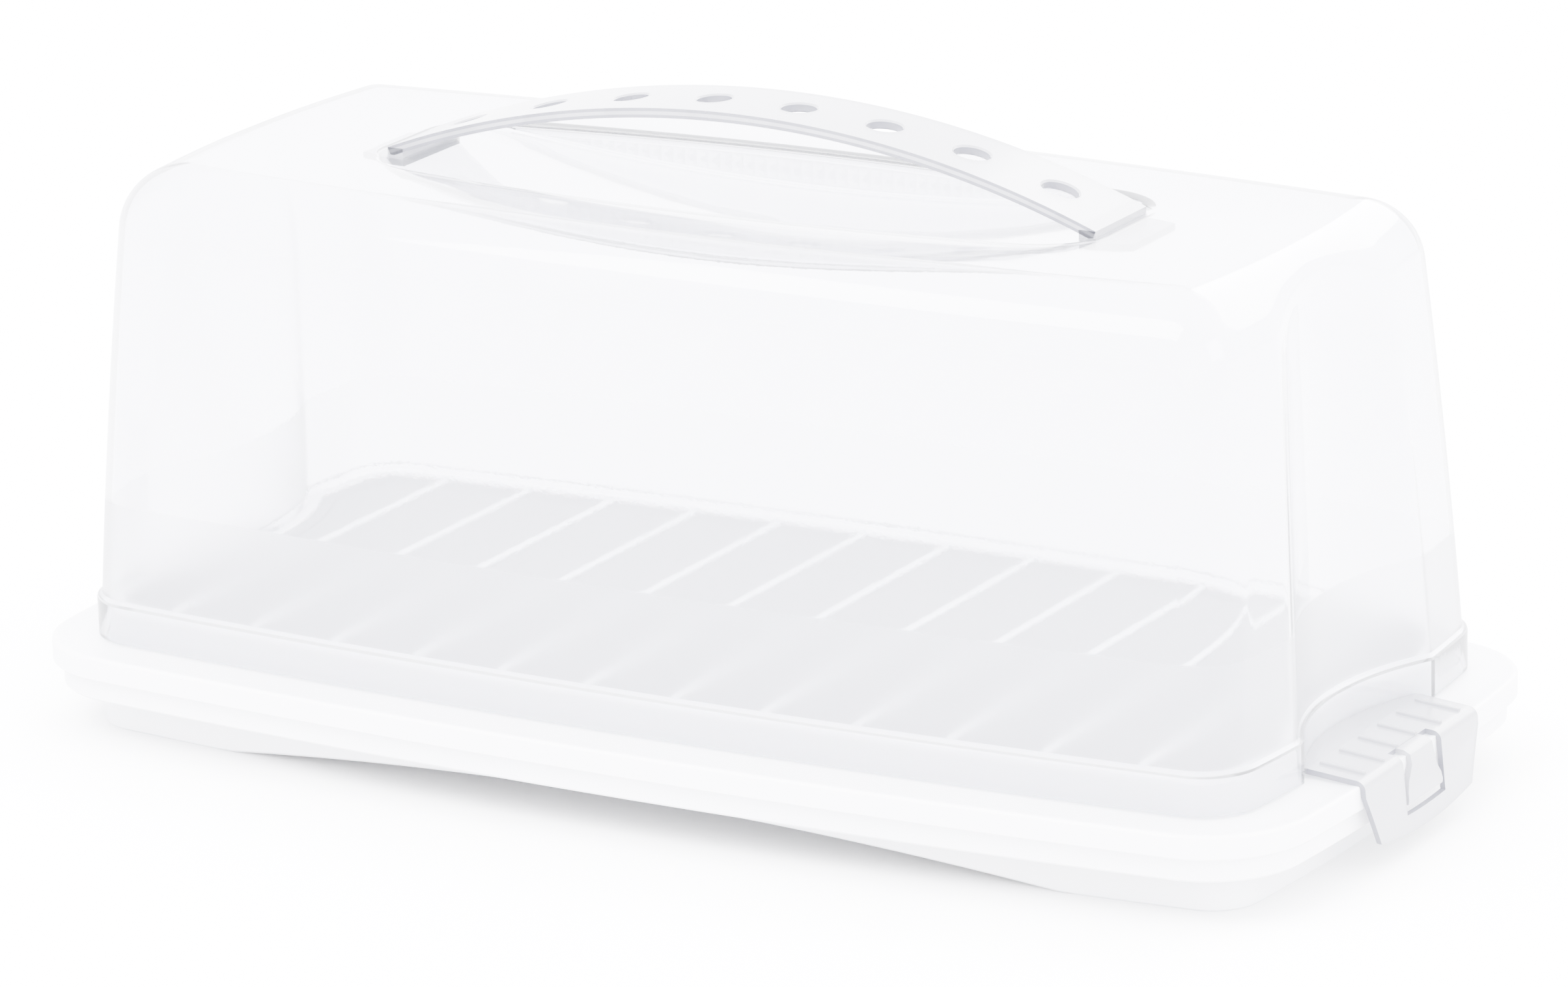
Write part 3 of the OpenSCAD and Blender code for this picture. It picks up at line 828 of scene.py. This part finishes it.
def addSkin(nodes, links, shader, low, high, bump):
    skin = nodes.new("ShaderNodeGroup")
    skin.node_tree = moulded
    skin.inputs["Rough low"].default_value = low
    skin.inputs["Rough high"].default_value = high
    skin.inputs["Bump"].default_value = bump
    links.new(skin.outputs["Roughness"], shader.inputs["Roughness"])
    links.new(skin.outputs["Normal"], shader.inputs["Normal"])
    return skin


def whitePlastic():
    mat, nodes, links, p = newMaterial("white_base")
    p.inputs["Base Color"].default_value = (0.69, 0.69, 0.715, 1)
    p.inputs["IOR"].default_value = 1.49
    p.inputs["Subsurface Weight"].default_value = 0.12
    p.inputs["Subsurface Scale"].default_value = 0.004
    addSkin(nodes, links, p, 0.30, 0.42, 0.10)
    return mat


# Platform floor between the slice marks: its colour is darkened as painted shade, the shade inside
# the hood's enclosed floor; fine grain as roughness and bump
def floorShadePlastic():
    mat, nodes, links, p = newMaterial("painted_shade_floor")
    # dark grey colour: painted shade of the enclosed platform floor
    p.inputs["Base Color"].default_value = (0.25, 0.25, 0.27, 1)
    p.inputs["IOR"].default_value = 1.49
    addSkin(nodes, links, p, 0.55, 0.7, 0.35)
    return mat


# Satin band low on the hood's walls, with the height over which each edge fades
satin = {"low": 34.5, "lowFade": 0.5, "high": 59.8, "highFade": 0.2, "rough": 0.28}


def addSatinBand(nodes, links, skin, shader):
    co = nodes.new("ShaderNodeTexCoord")
    split = nodes.new("ShaderNodeSeparateXYZ")
    end = nodes.new("ShaderNodeMapRange")
    end.inputs["From Min"].default_value = (satin["high"] - satin["highFade"]) * mm
    end.inputs["From Max"].default_value = (satin["high"] + satin["highFade"]) * mm
    end.inputs["To Min"].default_value = 1
    end.inputs["To Max"].default_value = 0
    start = nodes.new("ShaderNodeMapRange")
    start.inputs["From Min"].default_value = (satin["low"] - satin["lowFade"]) * mm
    start.inputs["From Max"].default_value = (satin["low"] + satin["lowFade"]) * mm
    both = nodes.new("ShaderNodeMath")
    both.operation = "MULTIPLY"
    soft = nodes.new("ShaderNodeMix")
    soft.inputs["B"].default_value = satin["rough"]
    links.new(co.outputs["Object"], split.inputs["Vector"])
    links.new(split.outputs["Z"], end.inputs["Value"])
    links.new(split.outputs["Z"], start.inputs["Value"])
    links.new(end.outputs["Result"], both.inputs[0])
    links.new(start.outputs["Result"], both.inputs[1])
    links.new(both.outputs["Value"], soft.inputs["Factor"])
    links.new(skin.outputs["Roughness"], soft.inputs["A"])
    links.new(soft.outputs["Result"], shader.inputs["Roughness"])


# Clear moulding with a little haze; light still reaches what stands behind it
def clearPlastic(name, low, high, tint, clear, banded=False):
    mat, nodes, links, p = newMaterial(name)
    p.inputs["Base Color"].default_value = (*tint, 1)
    p.inputs["IOR"].default_value = 1.5
    p.inputs["Transmission Weight"].default_value = clear
    skin = addSkin(nodes, links, p, low, high, 0.03)
    if banded:
        addSatinBand(nodes, links, skin, p)
    path = nodes.new("ShaderNodeLightPath")
    through = nodes.new("ShaderNodeBsdfTransparent")
    through.inputs["Color"].default_value = (0.93, 0.94, 0.95, 1)
    mix = nodes.new("ShaderNodeMixShader")
    out = nodes["Material Output"]
    links.new(path.outputs["Is Shadow Ray"], mix.inputs["Fac"])
    links.new(p.outputs["BSDF"], mix.inputs[1])
    links.new(through.outputs["BSDF"], mix.inputs[2])
    links.new(mix.outputs["Shader"], out.inputs["Surface"])
    return mat


whiteMat, floorShadeMat = whitePlastic(), floorShadePlastic()
hoodMat = clearPlastic("clear_hood", 0.02, 0.06, (0.86, 0.86, 0.895), 0.95, banded=True)
handleMat = clearPlastic("clear_handle", 0.12, 0.2, (0.42, 0.42, 0.45), 0.5)
latchMat = clearPlastic("clear_latch", 0.15, 0.24, (0.40, 0.40, 0.43), 0.5)
# darker tint for clear edges: painted shade, the darkness a clear edge shows where light is lost
# in it
edgeShadeMat = clearPlastic("clear_edge_painted_shade", 0.2, 0.3, (0.16, 0.16, 0.19), 0.3)

for obj, mat, body, slot, replaced in (
    (basePiece, whiteMat, "base", "white_base", ["base"]),
    (hoodPiece, hoodMat, "hood", "clear_hood", ["hood"]),
    (handlePiece, handleMat, "hood", "clear_handle", ["handle"]),
    (latchRight, latchMat, "latch_right", "clear_latch", ["latch_right"]),
    (latchLeft, latchMat, "latch_left", "clear_latch", ["latch_left"]),
    (shelves, latchMat, "hood", "clear_latch", []),
):
    paint(obj, mat, floorShadeMat if obj == basePiece else edgeShadeMat)
    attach(obj, body)
    if replaced:
        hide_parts(*replaced)
# the flat floor faces take the painted-shade finish
for face in basePiece.data.polygons:
    if face.normal.z > 0.99 and abs(face.center.z - floorZ * mm) < 1e-5:
        face.material_index = 1
print("materials made")

bpy.ops.mesh.primitive_plane_add(size=12, location=(0, 3, 0))
ground = bpy.context.object
ground.name = "floor"
mat, nodes, links, p = newMaterial("pale_floor")
p.inputs["Base Color"].default_value = (0.95, 0.95, 0.95, 1)
addSkin(nodes, links, p, 0.6, 0.75, 0.05)
ground.data.materials.append(mat)

world = bpy.data.worlds.new("studio")
bpy.context.scene.world = world
world.use_nodes = True
world.node_tree.nodes["Background"].inputs["Color"].default_value = (0.965, 0.965, 1.0, 1)
world.node_tree.nodes["Background"].inputs["Strength"].default_value = 15.0


def areaLight(name, place, target, size, power):
    data = bpy.data.lights.new(name, "AREA")
    data.shape = "RECTANGLE"
    data.size, data.size_y = size
    data.energy = power
    obj = bpy.data.objects.new(name, data)
    obj.location = place
    direction = Vector(target) - Vector(place)
    obj.rotation_euler = direction.to_track_quat("-Z", "Y").to_euler()
    bpy.context.scene.collection.objects.link(obj)


areaLight("key", (-0.5, -1.0, 1.5), (0, 0, 0.08), (1.2, 0.8), 100)
areaLight("back", (0.4, 1.6, 1.1), (0, 0, 0.1), (2.0, 0.8), 110)
areaLight("side", (1.6, -0.3, 0.7), (0, 0, 0.1), (0.8, 0.8), 40)
print("stage set")

# the photo's camera: focal length in its pixels, place in millimetres
photo = {"width": 2408, "focal": 11337.1, "sensor": 36, "yaw": 30.795, "pitch": 16.843,
         "roll": -1.686, "place": (907.82, -1515.49, 599.04)}
yaw, pitch, roll = (math.radians(photo[k]) for k in ("yaw", "pitch", "roll"))
ahead = (-math.sin(yaw) * math.cos(pitch), math.cos(yaw) * math.cos(pitch), -math.sin(pitch))
forward = Vector(ahead)
flat = Vector((math.cos(yaw), math.sin(yaw), 0))
rise = flat.cross(forward)
right = math.cos(roll) * flat + math.sin(roll) * rise
up = -math.sin(roll) * flat + math.cos(roll) * rise
camData = bpy.data.cameras.new("camera")
camData.sensor_width = photo["sensor"]
camData.lens = photo["focal"] / photo["width"] * photo["sensor"]
camData.clip_end = 50
camera = bpy.data.objects.new("camera", camData)
axes = Matrix((right, up, -forward)).transposed().to_4x4()
camera.matrix_world = Matrix.Translation(Vector(photo["place"]) * mm) @ axes
bpy.context.scene.collection.objects.link(camera)
bpy.context.scene.camera = camera
